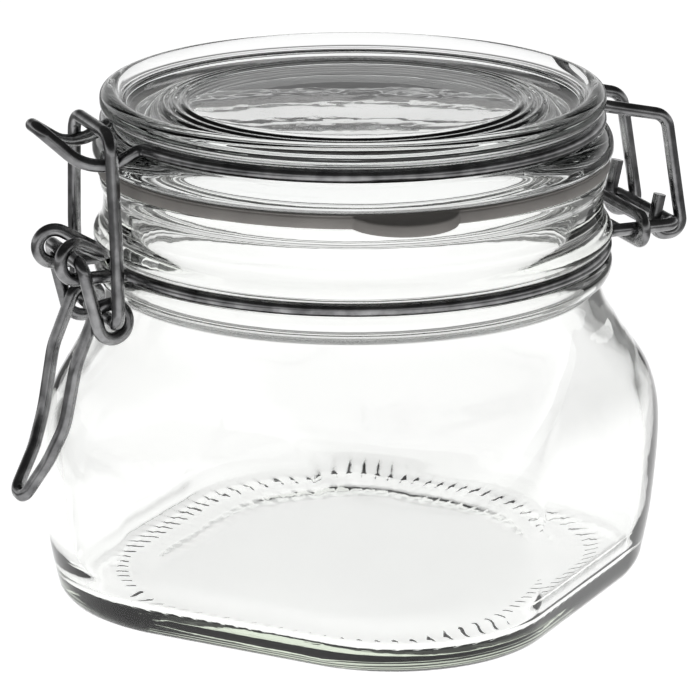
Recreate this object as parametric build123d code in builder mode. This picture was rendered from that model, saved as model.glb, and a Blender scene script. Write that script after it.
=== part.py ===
"""Bail clamp jar: a half-litre glass jar with a wired glass lid, a rubber seal and a toggle clamp.

Millimetres, +Z up, origin at the middle of the jar's base. The clamp is on the -X side and the
hinge on the +X side. Every wire is one bent length of the same round steel, so each is a single
sweep along straight runs joined by tangent arcs.
"""

import os
from math import acos, atan2, cos, degrees, hypot, pi, radians, sin

from build123d import *

# Wire and fits
WIRE_R = 1.25
WIRE_GAP = 0.2
BUTT_GAP = 0.3

# Jar: body sections from the heel up, as height, half width across the flats, corner radius
BODY_TURN = -5.0
BODY_SECTIONS = (
    (3.0, 49.9, 29.4),
    (14.0, 51.4, 29.6),
    (30.0, 52.2, 29.8),
    (40.0, 51.8, 34.0),
    (47.6, 50.6, 42.0),
    (55.0, 48.6, 46.9),
)
HEEL_HALF = 47.9
HEEL_CORNER = 30.4
HEEL_MID_HALF = 49.2
HEEL_MID_Z = 1.0
WAIST_Z = 61.0
WAIST_R = 47.2
BODY_WALL = 3.4
BASE_THICK = 4.2
CAVITY_TOE = 4.0
CAVITY_TOE_RISE = 1.4
NEARLY_ROUND = 0.4
CAVITY_TOE_CORNER = 21.8
CAVITY_SIDE_CORNER = 25.3
CAVITY_CORNER_DROP = 2.6
PUSH_UP_HALF = 35.5
PUSH_UP_CORNER = 21.0
PUSH_UP_DEPTH = 0.3
MOUTH_R = 43.0

# Jar neck
NECK_R = 47.8
BEAD_R = 49.8
LIP_R = 48.4
RIM_Z = 82.9

# Neck wire
NECK_WIRE_Z = 67.8
NECK_WIRE_RING_R = 48.35
EYE_X = -58.0
EYE_Y = 6.6
EYE_R = 3.2
FAR_EYE_R = 3.3
EYE_CORNER_RISE = 5.3
BRIDGE_X = -51.4
BRIDGE_Y = 3.2
BRIDGE_Z = 70.9
REAR_ARM_Y = 13.4

# Hinge, on the bar of the neck wire's rear rectangle
HINGE_X = 62.4
HOOK_Y = 9.9
HOOK_R = 2.7
HANGER_TOP_X = 61.6
HANGER_TOP_Z = 88.8
HANGER_LEAN = 0.5
STUB_SET_BACK = 3.6
STUB_LEAN = 0.22
NEAR_STUB_TOP_Z = 73.1
FAR_STUB_TOP_Z = 75.3
TIE_X = 54.3
TIE_RISE = 2 * WIRE_R + 0.1

# Seal
SEAL_TOP_Z = 85.7
SEAL_IN_R = 42.6
SEAL_OUT_R = 49.0
TAB_DEG = -101.0
TAB_REACH = 55.5
TAB_WIDTH = 20.0
TAB_THICK = 2.4

# Lid
LID_TOP_Z = 98.2
LID_R = 48.1
FLANGE_R = 49.65
LID_WIRE_Z = 92.3
LID_WIRE_RING_R = 46.9
PLUG_R = 41.4
PANEL_TOP_Z = 95.4
PANEL_UNDER_Z = 90.4

# Clamp
TONGUE_TWIST = 0.95
PIVOT_X = -57.9
PIVOT_Z = 71.1
LEVER_Y = EYE_Y + 2 * WIRE_R + WIRE_GAP
LEVER_INNER_Y = EYE_Y + 0.1
COIL_X = -51.9
COIL_Z = 59.4
COIL_R = 3.1
LINK_Y = LEVER_Y + 2 * WIRE_R + WIRE_GAP
LINK_TOP_X = -52.3
LINK_TOP_Y = 10.2
LINK_TOP_Z = 95.4
LINK_BEND_X = -52.1
LINK_BEND_Z = 74.5
LEVER_STUB_END_Y = 3.6
LINK_FOOT_END_Y = 4.8


def across(points):
    """Give the same points on the other side of the clamp's middle plane, in reverse order."""
    return [(x, -y, z) for x, y, z in reversed(points)]


def ring_corners(radius, height, start_deg, end_deg, count):
    """Corners whose fillets follow a level ring between two directions."""
    step = (end_deg - start_deg) / count
    reach = radius / cos(radians(step / 2))
    angles = [radians(start_deg + (i + 0.5) * step) for i in range(count)]
    return [(reach * cos(a), reach * sin(a), height) for a in angles]


def leaving_corner(radius, height, ring_deg, side_y):
    """Corner where a ring's tangent at one direction meets an arm that runs along X."""
    a = radians(ring_deg)
    run = (side_y - radius * sin(a)) / cos(a)
    return (radius * cos(a) - run * sin(a), side_y, height)


os.makedirs("parts", exist_ok=True)

# ---------------------------------------------------------------- glass jar
NECK_OUTLINE = (
    (WAIST_R, WAIST_Z),
    (48.6, 61.9),
    (49.6, 63.6),
    (BEAD_R, 65.0),
    (49.4, 66.0),
    (48.2, NECK_WIRE_Z),
    (49.4, 69.6),
    (BEAD_R, 70.5),
    (49.4, 71.6),
    (48.2, 73.2),
    (NECK_R, 75.0),
    (NECK_R, 79.2),
    (48.2, 80.0),
    (LIP_R, 80.6),
    (LIP_R, 82.3),
    (LIP_R - 0.6, RIM_Z),
    (MOUTH_R + 0.6, RIM_Z),
    (MOUTH_R, RIM_Z - 0.6),
    (MOUTH_R, WAIST_Z),
)

with BuildPart() as glass_jar:
    for height, half, corner in BODY_SECTIONS + ((WAIST_Z, WAIST_R, WAIST_R - NEARLY_ROUND),):
        with BuildSketch(Plane.XY.offset(height)):
            RectangleRounded(2 * half, 2 * half, corner, rotation=45 + BODY_TURN)
    loft()
    heel = (
        (0.0, HEEL_HALF, HEEL_CORNER),
        (HEEL_MID_Z, HEEL_MID_HALF, HEEL_CORNER),
        BODY_SECTIONS[0],
    )
    for height, half, corner in heel:
        with BuildSketch(Plane.XY.offset(height)):
            RectangleRounded(2 * half, 2 * half, corner, rotation=45 + BODY_TURN)
    loft(ruled=True)
    with BuildSketch(Plane.XZ):
        with BuildLine():
            Polyline(*NECK_OUTLINE, close=True)
        make_face()
    revolve(axis=Axis.Z)
    with BuildSketch(Plane.XZ):
        with Locations((NECK_WIRE_RING_R, NECK_WIRE_Z)):
            Circle(WIRE_R + WIRE_GAP)
    revolve(axis=Axis.Z, mode=Mode.SUBTRACT)
    # The cavity is one wall in at the flats and a little rounder than the body, so the glass is
    # thicker at the corners. It narrows to a toe above the base.
    inner_half = BODY_SECTIONS[0][1] - BODY_WALL
    toe = (
        (BASE_THICK, inner_half - CAVITY_TOE, CAVITY_TOE_CORNER),
        (BASE_THICK + CAVITY_TOE_RISE, inner_half - CAVITY_TOE_RISE, CAVITY_SIDE_CORNER),
    )
    inside = [
        (height, half - BODY_WALL, corner - CAVITY_CORNER_DROP)
        for height, half, corner in BODY_SECTIONS[1:]
    ]
    for height, half, corner in [*toe, *inside, (WAIST_Z, MOUTH_R, MOUTH_R - NEARLY_ROUND)]:
        with BuildSketch(Plane.XY.offset(height)):
            RectangleRounded(2 * half, 2 * half, corner, rotation=45 + BODY_TURN)
    loft(mode=Mode.SUBTRACT)
    with BuildSketch():
        RectangleRounded(2 * PUSH_UP_HALF, 2 * PUSH_UP_HALF, PUSH_UP_CORNER, rotation=45 + BODY_TURN)
    extrude(amount=PUSH_UP_DEPTH, mode=Mode.SUBTRACT)
glass_jar.part.label = "glass_jar"
export_step(glass_jar.part, "parts/glass_jar.step")

# ---------------------------------------------------------------- glass lid
LID_OUTLINE = (
    (0.0, PANEL_TOP_Z),
    (31.4, PANEL_TOP_Z),
    (32.2, 95.9),
    (33.2, 95.2),
    (34.0, 95.7),
    (35.0, 95.0),
    (35.8, 95.4),
    (37.0, 94.6),
    (42.4, 94.9),
    (43.4, 95.6),
    (44.0, 97.2),
    (44.9, 98.0),
    (45.8, LID_TOP_Z),
    (46.9, 98.1),
    (47.8, 97.5),
    (LID_R, 96.7),
    (LID_R, 95.4),
    (47.7, 94.6),
    (46.9, 94.1),
    (46.4, LID_WIRE_Z),
    (47.0, 90.6),
    (47.8, 90.4),
    (48.8, 89.7),
    (49.4, 88.6),
    (FLANGE_R, 87.6),
    (FLANGE_R, 86.4),
    (49.1, SEAL_TOP_Z),
    (PLUG_R + 0.4, SEAL_TOP_Z),
    (PLUG_R, SEAL_TOP_Z - 0.6),
    (40.9, 81.9),
    (40.2, 81.4),
    (39.4, 82.0),
    (38.6, 88.4),
    (37.2, PANEL_UNDER_Z),
    (0.0, PANEL_UNDER_Z),
)

with BuildPart() as glass_lid:
    with BuildSketch(Plane.XZ):
        with BuildLine():
            Polyline(*LID_OUTLINE, close=True)
        make_face()
    revolve(axis=Axis.Z)
    with BuildSketch(Plane.XZ):
        with Locations((LID_WIRE_RING_R, LID_WIRE_Z)):
            Circle(WIRE_R + WIRE_GAP)
    revolve(axis=Axis.Z, mode=Mode.SUBTRACT)
glass_lid.part.label = "glass_lid"
export_step(glass_lid.part, "parts/glass_lid.step")

# ---------------------------------------------------------------- rubber seal
with BuildPart() as gasket:
    with BuildSketch(Plane.XY.offset(RIM_Z)):
        Circle(SEAL_OUT_R)
        Circle(SEAL_IN_R, mode=Mode.SUBTRACT)
    extrude(amount=SEAL_TOP_Z - RIM_Z)
    # The pull tab is a crescent that grows out of the ring's edge.
    tab_plane = Plane.XY.offset(RIM_Z).rotated((0, 0, TAB_DEG))
    with BuildSketch(tab_plane):
        with BuildLine():
            root_x = (SEAL_OUT_R**2 - TAB_WIDTH**2 / 4) ** 0.5 - 0.6
            left = (root_x, -TAB_WIDTH / 2)
            right = (root_x, TAB_WIDTH / 2)
            ThreePointArc(left, (TAB_REACH, 0), right)
            Line(right, left)
        make_face()
    extrude(amount=TAB_THICK)
    with BuildSketch(Plane.XY.offset(RIM_Z)):
        Circle(SEAL_IN_R)
    extrude(amount=SEAL_TOP_Z - RIM_Z, mode=Mode.SUBTRACT)
gasket.part.label = "gasket"
export_step(gasket.part, "parts/gasket.step")

# ---------------------------------------------------------------- lid wire
LID_RING_LEAVE = 18.0


def half_lid_wire(twist, stub_top):
    """Corners of the -Y half: half the tongue, half the ring, the arm, the hanger and its hook."""
    return [
        (-63.5, -2.6, 96.0),
        (-56.2, -5.6, 90.0 + twist),
        (-51.0, -7.6, 90.1 + twist),
        leaving_corner(LID_WIRE_RING_R, LID_WIRE_Z, 180 + LID_RING_LEAVE, -HOOK_Y),
        *ring_corners(LID_WIRE_RING_R, LID_WIRE_Z, 180 + LID_RING_LEAVE, 360 - LID_RING_LEAVE, 8),
        leaving_corner(LID_WIRE_RING_R, LID_WIRE_Z, 360 - LID_RING_LEAVE, -HOOK_Y),
        (HANGER_TOP_X, -HOOK_Y, HANGER_TOP_Z),
        (HINGE_X + HOOK_R + HANGER_LEAN, -HOOK_Y, NECK_WIRE_Z - HOOK_R),
        (HINGE_X - STUB_SET_BACK, -HOOK_Y, NECK_WIRE_Z - HOOK_R),
        (
            HINGE_X - STUB_SET_BACK + STUB_LEAN * (stub_top - NECK_WIRE_Z + HOOK_R),
            -HOOK_Y,
            stub_top,
        ),
    ]


# The tongue is a little twisted, so its +Y leg stands higher than its -Y leg.
near_side = half_lid_wire(-TONGUE_TWIST, NEAR_STUB_TOP_Z)
far_side = half_lid_wire(TONGUE_TWIST, FAR_STUB_TOP_Z)
hook_bend = HOOK_R - 0.2
near_radii = [2.4, 9.0, 6.0, 3.0] + [LID_WIRE_RING_R - 0.5] * 8 + [4.0, 3.6, hook_bend, hook_bend]

with BuildPart() as lid_wire:
    with BuildLine() as lid_wire_path:
        FilletPolyline(*across(far_side), *near_side, radius=[*reversed(near_radii), *near_radii])
    with BuildSketch(Plane(origin=lid_wire_path.line @ 0, z_dir=lid_wire_path.line % 0)):
        Circle(WIRE_R)
    sweep()
lid_wire.part.label = "lid_wire"
export_step(lid_wire.part, "parts/lid_wire.step")

# ---------------------------------------------------------------- neck wire
CLAMP_LEAVE = 12.0
REAR_LEAVE = 23.0


def half_neck_wire(eye_r):
    """Corners of the -Y half: the bridge's end, the eye, half the ring and the rear rectangle."""
    eye_end = EYE_X - eye_r
    eye_top = NECK_WIRE_Z + eye_r + EYE_CORNER_RISE * eye_r / EYE_R
    return [
        (BRIDGE_X, -BRIDGE_Y, BRIDGE_Z),
        (eye_end, -EYE_Y, eye_top),
        (eye_end, -EYE_Y, NECK_WIRE_Z),
        leaving_corner(NECK_WIRE_RING_R, NECK_WIRE_Z, 180 + CLAMP_LEAVE, -EYE_Y),
        *ring_corners(NECK_WIRE_RING_R, NECK_WIRE_Z, 180 + CLAMP_LEAVE, 360 - REAR_LEAVE, 8),
        leaving_corner(NECK_WIRE_RING_R, NECK_WIRE_Z, 360 - REAR_LEAVE, -REAR_ARM_Y),
        (HINGE_X, -REAR_ARM_Y, NECK_WIRE_Z),
        (HINGE_X, -BUTT_GAP / 2, NECK_WIRE_Z),
    ]


def half_neck_radii(eye_r):
    """Bend radii of the same corners."""
    bend = eye_r - 0.05
    return [1.8, bend, bend, 3.0] + [NECK_WIRE_RING_R - 0.5] * 8 + [4.0, 2.2]


# Each eye is a round turn, and its upper arm slopes down to the bridge that joins the two eyes.
# The +Y eye is a little larger.
near_side = half_neck_wire(EYE_R)
far_side = half_neck_wire(FAR_EYE_R)
neck_radii = [*reversed(half_neck_radii(FAR_EYE_R)), *half_neck_radii(EYE_R)]

with BuildPart() as neck_wire:
    with BuildLine() as neck_wire_path:
        FilletPolyline(*across(far_side), *near_side, radius=neck_radii)
    with BuildSketch(Plane(origin=neck_wire_path.line @ 0, z_dir=neck_wire_path.line % 0)):
        Circle(WIRE_R)
    sweep()
neck_wire.part.label = "neck_wire"
export_step(neck_wire.part, "parts/neck_wire.step")

# ---------------------------------------------------------------- rear tie link
TIE_END_Y = REAR_ARM_Y + TIE_RISE
near_side = [
    (TIE_X, -TIE_END_Y, NECK_WIRE_Z + TIE_RISE),
    (TIE_X, -TIE_END_Y, NECK_WIRE_Z - TIE_RISE),
    (TIE_X, -BUTT_GAP, NECK_WIRE_Z - TIE_RISE),
]
bend = TIE_RISE - 0.05

with BuildPart() as rear_tie_link:
    with BuildLine() as tie_path:
        FilletPolyline(*across(near_side), *near_side, radius=[bend] * 4)
    with BuildSketch(Plane(origin=tie_path.line @ 0, z_dir=tie_path.line % 0)):
        Circle(WIRE_R)
    sweep()
rear_tie_link.part.label = "rear_tie_link"
export_step(rear_tie_link.part, "parts/rear_tie_link.step")

# ---------------------------------------------------------------- lever
def direction_touching(point_x, point_z, side):
    """Direction on the coil's circle whose tangent passes through a point, on one side of it."""
    x = point_x - COIL_X
    z = point_z - COIL_Z
    return degrees(atan2(z, x)) + side * degrees(acos(COIL_R / hypot(x, z)))


HANDLE_TOP = (-58.6, -LEVER_INNER_Y, 51.4)
COIL_CORNERS = 6
coil_start = direction_touching(PIVOT_X, PIVOT_Z, 1)
coil_end = direction_touching(HANDLE_TOP[0], HANDLE_TOP[2], -1) + 720
coil_step = (coil_end - coil_start) / COIL_CORNERS
coil_reach = COIL_R / cos(radians(coil_step / 2))
coil = []
for i in range(COIL_CORNERS):
    a = radians(coil_start + (i + 0.5) * coil_step)
    side_y = LEVER_Y + (LEVER_INNER_Y - LEVER_Y) * i / (COIL_CORNERS - 1)
    coil.append((COIL_X + coil_reach * cos(a), -side_y, COIL_Z + coil_reach * sin(a)))
near_side = [
    (PIVOT_X, -LEVER_STUB_END_Y, PIVOT_Z),
    (PIVOT_X, -LEVER_Y, PIVOT_Z),
    *coil,
    HANDLE_TOP,
    (-60.9, -6.2, 39.4),
    (-63.6, -4.4, 32.6),
    (-68.0, -2.4, 25.2),
]
near_radii = [1.9] + [COIL_R - 0.15] * COIL_CORNERS + [16.0, 18.0, 20.0, 2.2]

with BuildPart() as lever:
    with BuildLine() as lever_path:
        FilletPolyline(*near_side, *across(near_side), radius=[*near_radii, *reversed(near_radii)])
    with BuildSketch(Plane(origin=lever_path.line @ 0, z_dir=lever_path.line % 0)):
        Circle(WIRE_R)
    sweep()
lever.part.label = "lever"
export_step(lever.part, "parts/lever.step")

# ---------------------------------------------------------------- bail link
# The arms stay apart until they are past the lever's pivot bends, then draw in to the top bar. The
# link is long enough to lift over the tongue as the lever passes its lowest point.
near_side = [
    (COIL_X, -LINK_FOOT_END_Y, COIL_Z),
    (COIL_X, -LINK_Y, COIL_Z),
    (LINK_BEND_X, -LINK_Y, LINK_BEND_Z),
    (LINK_TOP_X, -LINK_TOP_Y, LINK_TOP_Z),
]
near_radii = [2.6, 8.0, 4.0]

with BuildPart() as bail_link:
    with BuildLine() as link_path:
        FilletPolyline(*near_side, *across(near_side), radius=[*near_radii, *reversed(near_radii)])
    with BuildSketch(Plane(origin=link_path.line @ 0, z_dir=link_path.line % 0)):
        Circle(WIRE_R)
    sweep()
bail_link.part.label = "bail_link"
export_step(bail_link.part, "parts/bail_link.step")

# Each wire's volume should be its section times its length.
wires = (
    (lid_wire, lid_wire_path),
    (neck_wire, neck_wire_path),
    (rear_tie_link, tie_path),
    (lever, lever_path),
    (bail_link, link_path),
)
for piece, path in wires:
    length = sum(edge.length for edge in path.edges())
    expected = pi * WIRE_R**2 * length
    ratio = piece.part.volume / expected
    print(piece.part.label, "length", round(length, 1), "volume ratio", round(ratio, 4))
print("lever arm", round(hypot(COIL_X - PIVOT_X, COIL_Z - PIVOT_Z), 2))
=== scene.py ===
"""Looks for the bail clamp jar: pressed glass jar and lid, rubber seal and drawn steel wires.

The jar, the lid and the seal are built here as fine meshes in place of their CAD solids. The wires are
the CAD solids with a drawn steel finish. Sizes are in millimetres until a mesh is made.
"""

from math import asin, cos, pi, radians, sin, sqrt, tau

import bpy
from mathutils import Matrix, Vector


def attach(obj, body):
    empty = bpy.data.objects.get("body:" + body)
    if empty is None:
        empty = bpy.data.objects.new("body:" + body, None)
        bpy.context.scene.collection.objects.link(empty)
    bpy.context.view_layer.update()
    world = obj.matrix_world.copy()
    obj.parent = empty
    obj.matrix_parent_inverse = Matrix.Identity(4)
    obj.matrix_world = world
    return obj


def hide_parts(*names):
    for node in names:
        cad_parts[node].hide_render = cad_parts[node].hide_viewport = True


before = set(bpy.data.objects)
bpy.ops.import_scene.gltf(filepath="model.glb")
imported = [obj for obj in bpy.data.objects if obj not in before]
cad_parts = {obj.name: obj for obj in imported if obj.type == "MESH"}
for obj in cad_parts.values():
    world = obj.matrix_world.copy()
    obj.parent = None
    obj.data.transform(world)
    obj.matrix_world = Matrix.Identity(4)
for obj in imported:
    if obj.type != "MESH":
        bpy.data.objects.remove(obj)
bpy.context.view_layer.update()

MM = 0.001

# ---------------------------------------------------------------- shared sizes
WIRE_R = 1.25
GROOVE_R = WIRE_R + 0.2
BODY_TURN = 40.0

# Jar sections: height, half width across the flats, corner radius
HEEL_SECTIONS = (
    (0.0, 47.3, 30.2),
    (0.25, 48.3, 30.4),
    (0.9, 49.1, 30.2),
    (1.9, 49.6, 29.8),
)
BODY_SECTIONS = (
    (3.0, 49.9, 29.4),
    (14.0, 51.4, 29.6),
    (30.0, 52.2, 29.8),
    (40.0, 51.8, 34.0),
    (47.6, 50.6, 42.0),
    (55.0, 48.6, 46.9),
    (61.0, 47.2, 47.2),
)
WALL = 3.4
CAVITY_ROUNDING = -2.6
TOE_HALF = 46.9
TOE_CORNER = 29.4
BASE_THICK = 4.2
MOUTH_R = 43.0
RIM_Z = 82.9
NECK_WIRE_Z = 67.8
NECK_WIRE_RING_R = 48.35
PUSH_UP = 0.3

# Knurled bearing band under the base
KNURL_COUNT = 88
KNURL_DEPTH = 0.16
KNURL_IN = 39.4
KNURL_OUT = 42.6
KNURL_ROUNDNESS = 0.69

# Lid and seal
LID_WIRE_Z = 92.3
LID_WIRE_RING_R = 46.9
UNDER_DOME = 1.2
DOME_R = 36.0
PANEL_UNDER_Z = 90.4
SEAL_LOW = 82.94
SEAL_HIGH = 85.66
TAB_TOP = 85.3
SEAL_IN_R = 42.6
SEAL_OUT_R = 49.0
TAB_DEG = -101.0
TAB_CENTRE_R = 45.3
TAB_R = 10.2

JAR_SEGMENTS = KNURL_COUNT * 10
LID_SEGMENTS = 384
SEAL_SEGMENTS = 720


# ---------------------------------------------------------------- outlines
def arc(centre_r, centre_z, radius, start_deg, end_deg, count):
    """Points on an arc in the (radius, height) plane."""
    angles = [radians(start_deg + (end_deg - start_deg) * i / count) for i in range(count + 1)]
    return [(centre_r + radius * cos(a), centre_z + radius * sin(a)) for a in angles]


def smooth_through(points, steps):
    """Catmull-Rom points through a list of tuples."""
    ends = [points[0], *points, points[-1]]
    out = []
    for a, b, c, d in zip(ends, ends[1:], ends[2:], ends[3:]):
        for i in range(steps):
            t = i / steps
            out.append(tuple(
                0.5 * (2 * q + (r - p) * t + (2 * p - 5 * q + 4 * r - s) * t**2
                       + (3 * q - p - 3 * r + s) * t**3)
                for p, q, r, s in zip(a, b, c, d)
            ))
    return [*out, points[-1]]


def cut_corners(points, rounds):
    """Round an open outline by cutting its corners, keeping its two ends."""
    for _ in range(rounds):
        cut = [points[0]]
        for a, b in zip(points, points[1:]):
            cut.append(tuple(0.75 * p + 0.25 * q for p, q in zip(a, b)))
            cut.append(tuple(0.25 * p + 0.75 * q for p, q in zip(a, b)))
        points = [*cut, points[-1]]
    return points


def square_reach(angle, half, corner):
    """Distance from the middle to a rounded square's edge, in one direction."""
    turn = (angle + pi / 4) % (pi / 2) - pi / 4
    flat = half - corner
    t = abs(turn)
    if half * sin(t) <= flat * cos(t):
        return half / cos(t)
    both = flat * (cos(t) + sin(t))
    return both + sqrt(max(both**2 - 2 * flat**2 + corner**2, 0.0))


# ---------------------------------------------------------------- mesh making
def turned_mesh(name, rows, segments, point, loop=False, start_pole=False, end_pole=False):
    """A closed skin of rows of points round the Z axis. A pole row is a single point in the middle."""
    verts = []
    faces = []
    starts = []
    for i, row in enumerate(rows):
        starts.append(len(verts))
        pole = (start_pole and i == 0) or (end_pole and i == len(rows) - 1)
        count = 1 if pole else segments
        for j in range(count):
            x, y, z = point(row, tau * j / segments)
            verts.append((x * MM, y * MM, z * MM))
    pairs = list(zip(range(len(rows) - 1), range(1, len(rows))))
    if loop:
        pairs.append((len(rows) - 1, 0))
    for low, high in pairs:
        a, b = starts[low], starts[high]
        for j in range(segments):
            k = (j + 1) % segments
            if start_pole and low == 0:
                faces.append((a, b + k, b + j))
            elif end_pole and high == len(rows) - 1:
                faces.append((a + j, a + k, b))
            else:
                faces.append((a + j, a + k, b + k, b + j))
    mesh = bpy.data.meshes.new(name)
    mesh.from_pydata(verts, [], faces)
    mesh.validate()
    mesh.shade_smooth()
    piece = bpy.data.objects.new(name, mesh)
    bpy.context.scene.collection.objects.link(piece)
    return piece


# ---------------------------------------------------------------- materials
RIPPLE_START_Z = 60.0
RIPPLE_FULL_Z = 70.0
CLEAR = (1.0, 1.0, 1.0)


def new_material(name):
    """A node material with its Principled shader, output, and links."""
    material = bpy.data.materials.new(name)
    material.use_nodes = True
    tree = material.node_tree
    return material, tree, tree.nodes["Principled BSDF"], tree.nodes["Material Output"]


def glass(name, tint, absorb, density, ripple_low, ripple_high, scale):
    """Clear pressed glass: an olive cast where it is thick, and mould ripples that grow above the body."""
    material, tree, shader, output = new_material(name)
    shader.inputs["Base Color"].default_value = (*tint, 1.0)
    shader.inputs["Roughness"].default_value = 0.0
    shader.inputs["IOR"].default_value = 1.52
    shader.inputs["Transmission Weight"].default_value = 1.0
    place = tree.nodes.new("ShaderNodeTexCoord")
    waves = tree.nodes.new("ShaderNodeTexNoise")
    waves.inputs["Scale"].default_value = scale
    waves.inputs["Detail"].default_value = 3.0
    heights = tree.nodes.new("ShaderNodeSeparateXYZ")
    rise = tree.nodes.new("ShaderNodeMapRange")
    rise.inputs["From Min"].default_value = RIPPLE_START_Z * MM
    rise.inputs["From Max"].default_value = RIPPLE_FULL_Z * MM
    rise.inputs["To Min"].default_value = ripple_low
    rise.inputs["To Max"].default_value = ripple_high
    tree.links.new(place.outputs["Object"], heights.inputs["Vector"])
    tree.links.new(heights.outputs["Z"], rise.inputs["Value"])
    bump = tree.nodes.new("ShaderNodeBump")
    bump.inputs["Distance"].default_value = 0.0004
    tree.links.new(rise.outputs["Result"], bump.inputs["Strength"])
    tree.links.new(place.outputs["Object"], waves.inputs["Vector"])
    tree.links.new(waves.outputs["Fac"], bump.inputs["Height"])
    tree.links.new(bump.outputs["Normal"], shader.inputs["Normal"])
    inside = tree.nodes.new("ShaderNodeVolumeAbsorption")
    inside.inputs["Color"].default_value = (*absorb, 1.0)
    inside.inputs["Density"].default_value = density
    tree.links.new(inside.outputs["Volume"], output.inputs["Volume"])
    return material


def steel():
    """Drawn steel wire: fine scratches along the draw, dull patches and a little tarnish."""
    material, tree, shader, _ = new_material("drawn_steel")
    shader.inputs["Metallic"].default_value = 1.0
    place = tree.nodes.new("ShaderNodeTexCoord")
    patches = tree.nodes.new("ShaderNodeTexNoise")
    patches.inputs["Scale"].default_value = 260.0
    patches.inputs["Detail"].default_value = 4.0
    colour = tree.nodes.new("ShaderNodeValToRGB")
    colour.color_ramp.elements[0].position = 0.3
    colour.color_ramp.elements[0].color = (0.13, 0.13, 0.133, 1.0)
    colour.color_ramp.elements[1].position = 0.75
    colour.color_ramp.elements[1].color = (0.42, 0.42, 0.425, 1.0)
    dull = tree.nodes.new("ShaderNodeMapRange")
    dull.inputs["To Min"].default_value = 0.16
    dull.inputs["To Max"].default_value = 0.30
    scratches = tree.nodes.new("ShaderNodeTexNoise")
    scratches.inputs["Scale"].default_value = 2200.0
    scratches.inputs["Detail"].default_value = 2.0
    bump = tree.nodes.new("ShaderNodeBump")
    bump.inputs["Strength"].default_value = 0.25
    bump.inputs["Distance"].default_value = 0.00004
    tree.links.new(place.outputs["Object"], patches.inputs["Vector"])
    tree.links.new(place.outputs["Object"], scratches.inputs["Vector"])
    tree.links.new(patches.outputs["Fac"], colour.inputs["Fac"])
    tree.links.new(colour.outputs["Color"], shader.inputs["Base Color"])
    tree.links.new(patches.outputs["Fac"], dull.inputs["Value"])
    tree.links.new(dull.outputs["Result"], shader.inputs["Roughness"])
    tree.links.new(scratches.outputs["Fac"], bump.inputs["Height"])
    tree.links.new(bump.outputs["Normal"], shader.inputs["Normal"])
    return material


def rubber():
    """Matt grey-taupe rubber with a fine grain and a little bloom."""
    material, tree, shader, _ = new_material("seal_rubber")
    shader.inputs["Roughness"].default_value = 0.55
    place = tree.nodes.new("ShaderNodeTexCoord")
    bloom = tree.nodes.new("ShaderNodeTexNoise")
    bloom.inputs["Scale"].default_value = 90.0
    bloom.inputs["Detail"].default_value = 5.0
    colour = tree.nodes.new("ShaderNodeValToRGB")
    colour.color_ramp.elements[0].position = 0.3
    colour.color_ramp.elements[0].color = (0.26, 0.245, 0.232, 1.0)
    colour.color_ramp.elements[1].position = 0.75
    colour.color_ramp.elements[1].color = (0.35, 0.332, 0.315, 1.0)
    grain = tree.nodes.new("ShaderNodeTexNoise")
    grain.inputs["Scale"].default_value = 1800.0
    bump = tree.nodes.new("ShaderNodeBump")
    bump.inputs["Strength"].default_value = 0.35
    bump.inputs["Distance"].default_value = 0.00005
    tree.links.new(place.outputs["Object"], bloom.inputs["Vector"])
    tree.links.new(place.outputs["Object"], grain.inputs["Vector"])
    tree.links.new(bloom.outputs["Fac"], colour.inputs["Fac"])
    tree.links.new(colour.outputs["Color"], shader.inputs["Base Color"])
    tree.links.new(grain.outputs["Fac"], bump.inputs["Height"])
    tree.links.new(bump.outputs["Normal"], shader.inputs["Normal"])
    return material


# ---------------------------------------------------------------- jar
def jar_rows():
    """Rows of (height, half width, corner radius, knurl share), from the base out and back inside."""
    base = [(PUSH_UP, r, min(r, 20.0)) for r in (0.0, 8.0, 16.0, 24.0, 29.0)]
    slope = [(PUSH_UP, 30.0, 19.5), (0.2, 33.0, 21.8), (0.06, 35.5, 23.8), (0.0, 38.0, 26.0)]
    slope = smooth_through(slope, 4)
    rows = [(*row, 0.0) for row in base + slope]
    bands = 12
    for i in range(bands + 1):
        share = i / bands
        half = KNURL_IN + (KNURL_OUT - KNURL_IN) * share
        rows.append((0.0, half, half * KNURL_ROUNDNESS, min(1.0, 6 * share, 6 * (1 - share))))
    outside = [*HEEL_SECTIONS, *smooth_through(BODY_SECTIONS, 8)]
    rows += [(*row, 0.0) for row in outside]
    neck = [(47.2, 61.0), (47.7, 61.3), (48.9, 62.2), (49.65, 63.7), (49.8, 65.0), (49.4, 66.0)]
    neck += arc(NECK_WIRE_RING_R, NECK_WIRE_Z, GROOVE_R, 299, 61, 12)
    neck += [(49.4, 69.6), (49.8, 70.5), (49.4, 71.7), (48.4, 73.1), (47.8, 75.0), (47.8, 79.2),
             (48.2, 80.0), (48.4, 80.7), (48.4, 82.2), (47.9, RIM_Z), (45.5, RIM_Z), (43.5, RIM_Z),
             (MOUTH_R, 82.3), (MOUTH_R, 72.0)]
    neck = cut_corners(neck, 2)
    rows += [(z, r, r, 0.0) for r, z in neck[1:]]
    inside = [(z, half - WALL, min(half - WALL, corner + CAVITY_ROUNDING))
              for z, half, corner in reversed(BODY_SECTIONS[1:-1])]
    inside = [(72.0, MOUTH_R, MOUTH_R), (64.0, MOUTH_R, MOUTH_R), *inside]
    toe = [(8.0, 47.0), (6.0, 46.5), (4.8, 45.2), (BASE_THICK, 43.0), (BASE_THICK, 36.0)]
    toe = [(z, half, (TOE_CORNER + CAVITY_ROUNDING) * half / TOE_HALF) for z, half in toe]
    rows += [(*row, 0.0) for row in smooth_through(inside + toe, 6)[1:]]
    rows += [(BASE_THICK, r, min(r, 16.0), 0.0) for r in (28.0, 22.0, 16.0, 8.0, 0.0)]
    return rows


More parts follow.
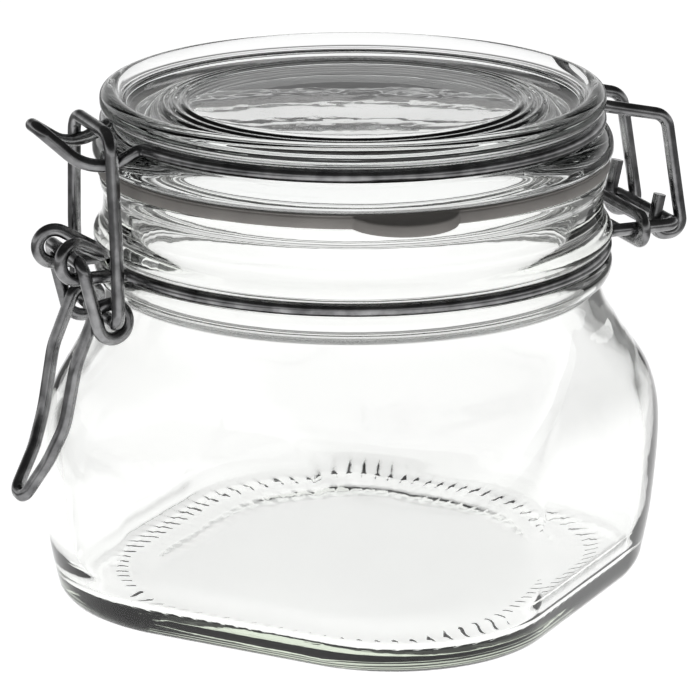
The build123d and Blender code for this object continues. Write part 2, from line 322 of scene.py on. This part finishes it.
def jar_point(row, angle):
    """One point of the jar, with the knurls pressed into the band under the base."""
    height, half, corner, knurl = row
    reach = square_reach(angle - radians(BODY_TURN), half, corner) if half > 0 else 0.0
    if knurl > 0:
        wave = max(0.0, cos(KNURL_COUNT * angle)) ** 3
        height += KNURL_DEPTH * knurl * wave
    return reach * cos(angle), reach * sin(angle), height


glass_jar = turned_mesh("jar_glass", jar_rows(), JAR_SEGMENTS, jar_point, start_pole=True, end_pole=True)
JAR_ABSORB = (0.78, 0.84, 0.72)
glass_jar.data.materials.append(glass("jar_glass", CLEAR, JAR_ABSORB, 14.0, 0.10, 0.28, 90.0))
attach(glass_jar, "jar")
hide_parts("glass_jar")


# ---------------------------------------------------------------- lid
def lid_rows():
    """Rows of (radius, height) from the underside's middle out round the rim to the top's middle."""
    dome = [
        (r, PANEL_UNDER_Z + UNDER_DOME * (1 - (r / DOME_R) ** 2))
        for r in (0.0, 6.0, 12.0, 18.0, 24.0, 30.0, DOME_R)
    ]
    under = [*dome, (37.6, 90.1), (38.5, 88.6), (39.0, 85.0), (39.4, 82.0)]
    plug = [(40.2, 81.4), (40.9, 81.9), (41.2, 83.5), (41.4, 85.2), (41.9, 85.7), (45.0, 85.7),
            (49.0, 85.7)]
    flange = [(49.65, 86.3), (49.65, 87.6), (49.4, 88.7), (48.8, 89.7), (47.8, 90.5), (47.0, 90.75)]
    groove = arc(LID_WIRE_RING_R, LID_WIRE_Z, GROOVE_R, 266, 94, 10)
    rim = [(46.95, 94.1), (47.7, 94.6), (48.1, 95.4), (48.1, 96.7), (47.8, 97.5), (46.9, 98.1),
           (45.8, 98.2), (44.9, 98.0)]
    recess = [(44.0, 97.2), (43.4, 95.6), (42.4, 94.9), (39.5, 94.7), (37.0, 94.6), (35.8, 95.4),
              (35.0, 95.0), (34.0, 95.7), (33.2, 95.2), (32.2, 95.9), (31.4, 95.4), (24.0, 95.4),
              (12.0, 95.4), (0.0, 95.4)]
    return cut_corners([*under, *plug, *flange, *groove, *rim, *recess], 2)


def lid_point(row, angle):
    """One point of the lid."""
    reach, height = row
    return reach * cos(angle), reach * sin(angle), height


glass_lid = turned_mesh("lid_glass", lid_rows(), LID_SEGMENTS, lid_point, start_pole=True, end_pole=True)
LID_ABSORB = (0.78, 0.84, 0.80)
glass_lid.data.materials.append(glass("lid_glass", CLEAR, LID_ABSORB, 12.0, 0.26, 0.26, 55.0))
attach(glass_lid, "lid")
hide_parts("glass_lid")


# ---------------------------------------------------------------- seal
def tab_reach(angle):
    """Distance to the seal's edge: the ring, or the pull tab's crescent where it stands out."""
    turn = (angle - radians(TAB_DEG) + pi) % tau - pi
    if abs(turn) > asin(TAB_R / TAB_CENTRE_R):
        return SEAL_OUT_R
    reach = TAB_CENTRE_R * cos(turn) + sqrt(TAB_R**2 - (TAB_CENTRE_R * sin(turn)) ** 2)
    return max(reach, SEAL_OUT_R)


SEAL_ROUND = 0.45
SEAL_ROWS = (
    ("in", 0.0, SEAL_LOW + SEAL_ROUND),
    ("in", 0.13, SEAL_LOW + 0.13),
    ("in", SEAL_ROUND, SEAL_LOW),
    ("out", -3.0, SEAL_LOW),
    ("tab", -SEAL_ROUND, SEAL_LOW),
    ("tab", -0.13, SEAL_LOW + 0.13),
    ("tab", 0.0, SEAL_LOW + SEAL_ROUND),
    ("tab", 0.0, TAB_TOP - SEAL_ROUND),
    ("tab", -0.13, TAB_TOP - 0.13),
    ("tab", -SEAL_ROUND, TAB_TOP),
    ("out", -0.05, TAB_TOP),
    ("out", -0.2, SEAL_HIGH - 0.12),
    ("out", -0.5, SEAL_HIGH),
    ("out", -3.0, SEAL_HIGH),
    ("in", SEAL_ROUND, SEAL_HIGH),
    ("in", 0.13, SEAL_HIGH - 0.13),
    ("in", 0.0, SEAL_HIGH - SEAL_ROUND),
)


def seal_point(row, angle):
    """One point of the seal's section at one direction."""
    edge, inset, height = row
    reach = {"in": SEAL_IN_R, "out": SEAL_OUT_R, "tab": tab_reach(angle)}[edge] + inset
    if edge == "tab":
        reach = max(reach, SEAL_OUT_R + inset)
    return reach * cos(angle), reach * sin(angle), height


seal = turned_mesh("seal", SEAL_ROWS, SEAL_SEGMENTS, seal_point, loop=True)
seal.data.materials.append(rubber())
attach(seal, "lid")
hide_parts("gasket")

# ---------------------------------------------------------------- wires
wire_finish = steel()
for name in ("lid_wire", "neck_wire", "rear_tie_link", "lever", "bail_link"):
    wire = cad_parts[name]
    wire.data.materials.clear()
    wire.data.materials.append(wire_finish)

# ---------------------------------------------------------------- studio
FLOOR_SIZE = 8.0
FLOOR_DROP = 0.0002
floor_mesh = bpy.data.meshes.new("floor")
edge = FLOOR_SIZE / 2
corners = [(-edge, -edge, 0), (edge, -edge, 0), (edge, edge, 0), (-edge, edge, 0)]
floor_mesh.from_pydata(corners, [], [(0, 1, 2, 3)])
floor = bpy.data.objects.new("floor", floor_mesh)
bpy.context.scene.collection.objects.link(floor)
floor.location.z = -FLOOR_DROP
CAMERA_AZIMUTH = radians(-22.5)
WHITE = (1.0, 1.0, 1.0, 1.0)

# The floor is white to look at. As a light it is a bright strip, with grey to each side that
# gives the glass and the wires their dark edges.
floor_paint, paint, floor_shader, _ = new_material("pale_floor")
floor_shader.inputs["Base Color"].default_value = (0.9, 0.9, 0.9, 1.0)
floor_shader.inputs["Roughness"].default_value = 0.8
floor_shader.inputs["Emission Color"].default_value = WHITE
place = paint.nodes.new("ShaderNodeTexCoord")
turn = paint.nodes.new("ShaderNodeMapping")
turn.vector_type = "TEXTURE"
turn.inputs["Rotation"].default_value = (0.0, 0.0, CAMERA_AZIMUTH)
turn.inputs["Scale"].default_value = (0.17, 0.8, 1.0)
far_out = paint.nodes.new("ShaderNodeVectorMath")
far_out.operation = "LENGTH"
strip = paint.nodes.new("ShaderNodeMapRange")
strip.interpolation_type = "SMOOTHSTEP"
strip.inputs["From Min"].default_value = 0.7
strip.inputs["From Max"].default_value = 1.2
strip.inputs["To Min"].default_value = 1.0
strip.inputs["To Max"].default_value = 0.1
looked_at = paint.nodes.new("ShaderNodeLightPath")
strength = paint.nodes.new("ShaderNodeMix")
strength.inputs["B"].default_value = 1.0
paint.links.new(place.outputs["Object"], turn.inputs["Vector"])
paint.links.new(turn.outputs["Vector"], far_out.inputs[0])
paint.links.new(far_out.outputs["Value"], strip.inputs["Value"])
paint.links.new(looked_at.outputs["Is Camera Ray"], strength.inputs["Factor"])
paint.links.new(strip.outputs["Result"], strength.inputs["A"])
paint.links.new(strength.outputs["Result"], floor_shader.inputs["Emission Strength"])
floor_mesh.materials.append(floor_paint)

world = bpy.data.worlds.new("studio")
bpy.context.scene.world = world
world.use_nodes = True
sky = world.node_tree
direction = sky.nodes.new("ShaderNodeTexCoord")
parts = sky.nodes.new("ShaderNodeSeparateXYZ")
ramp = sky.nodes.new("ShaderNodeValToRGB")
stops = ramp.color_ramp
stops.elements[0].position = 0.08
stops.elements[0].color = WHITE
stops.elements[1].position = 0.36
stops.elements[1].color = (0.05, 0.05, 0.05, 1.0)
looked_at = sky.nodes.new("ShaderNodeLightPath")
backdrop = sky.nodes.new("ShaderNodeMix")
backdrop.data_type = "RGBA"
backdrop.inputs["B"].default_value = WHITE
sky.links.new(direction.outputs["Generated"], parts.inputs["Vector"])
sky.links.new(parts.outputs["Z"], ramp.inputs["Fac"])
sky.links.new(looked_at.outputs["Is Camera Ray"], backdrop.inputs["Factor"])
sky.links.new(ramp.outputs["Color"], backdrop.inputs["A"])
sky.links.new(backdrop.outputs["Result"], sky.nodes["Background"].inputs["Color"])

# ---------------------------------------------------------------- camera
CAMERA_HEIGHT = radians(16.88)
CAMERA_AWAY = 0.801
LOOK_AT_Z = 0.0456
LOOK_AT_RIGHT = -0.00055
right = Vector((cos(CAMERA_AZIMUTH), sin(CAMERA_AZIMUTH), 0.0))
back = Vector((
    sin(CAMERA_AZIMUTH) * cos(CAMERA_HEIGHT),
    -cos(CAMERA_AZIMUTH) * cos(CAMERA_HEIGHT),
    sin(CAMERA_HEIGHT),
))
target = right * LOOK_AT_RIGHT + Vector((0.0, 0.0, LOOK_AT_Z))
lens = bpy.data.cameras.new("camera")
lens.lens = 213.1
lens.sensor_width = 36.0
camera = bpy.data.objects.new("camera", lens)
camera.location = target + back * CAMERA_AWAY
camera.rotation_mode = "QUATERNION"
camera.rotation_quaternion = (-back).to_track_quat("-Z", "Y")
bpy.context.scene.collection.objects.link(camera)
bpy.context.scene.camera = camera
bpy.context.scene.view_settings.view_transform = "Standard"
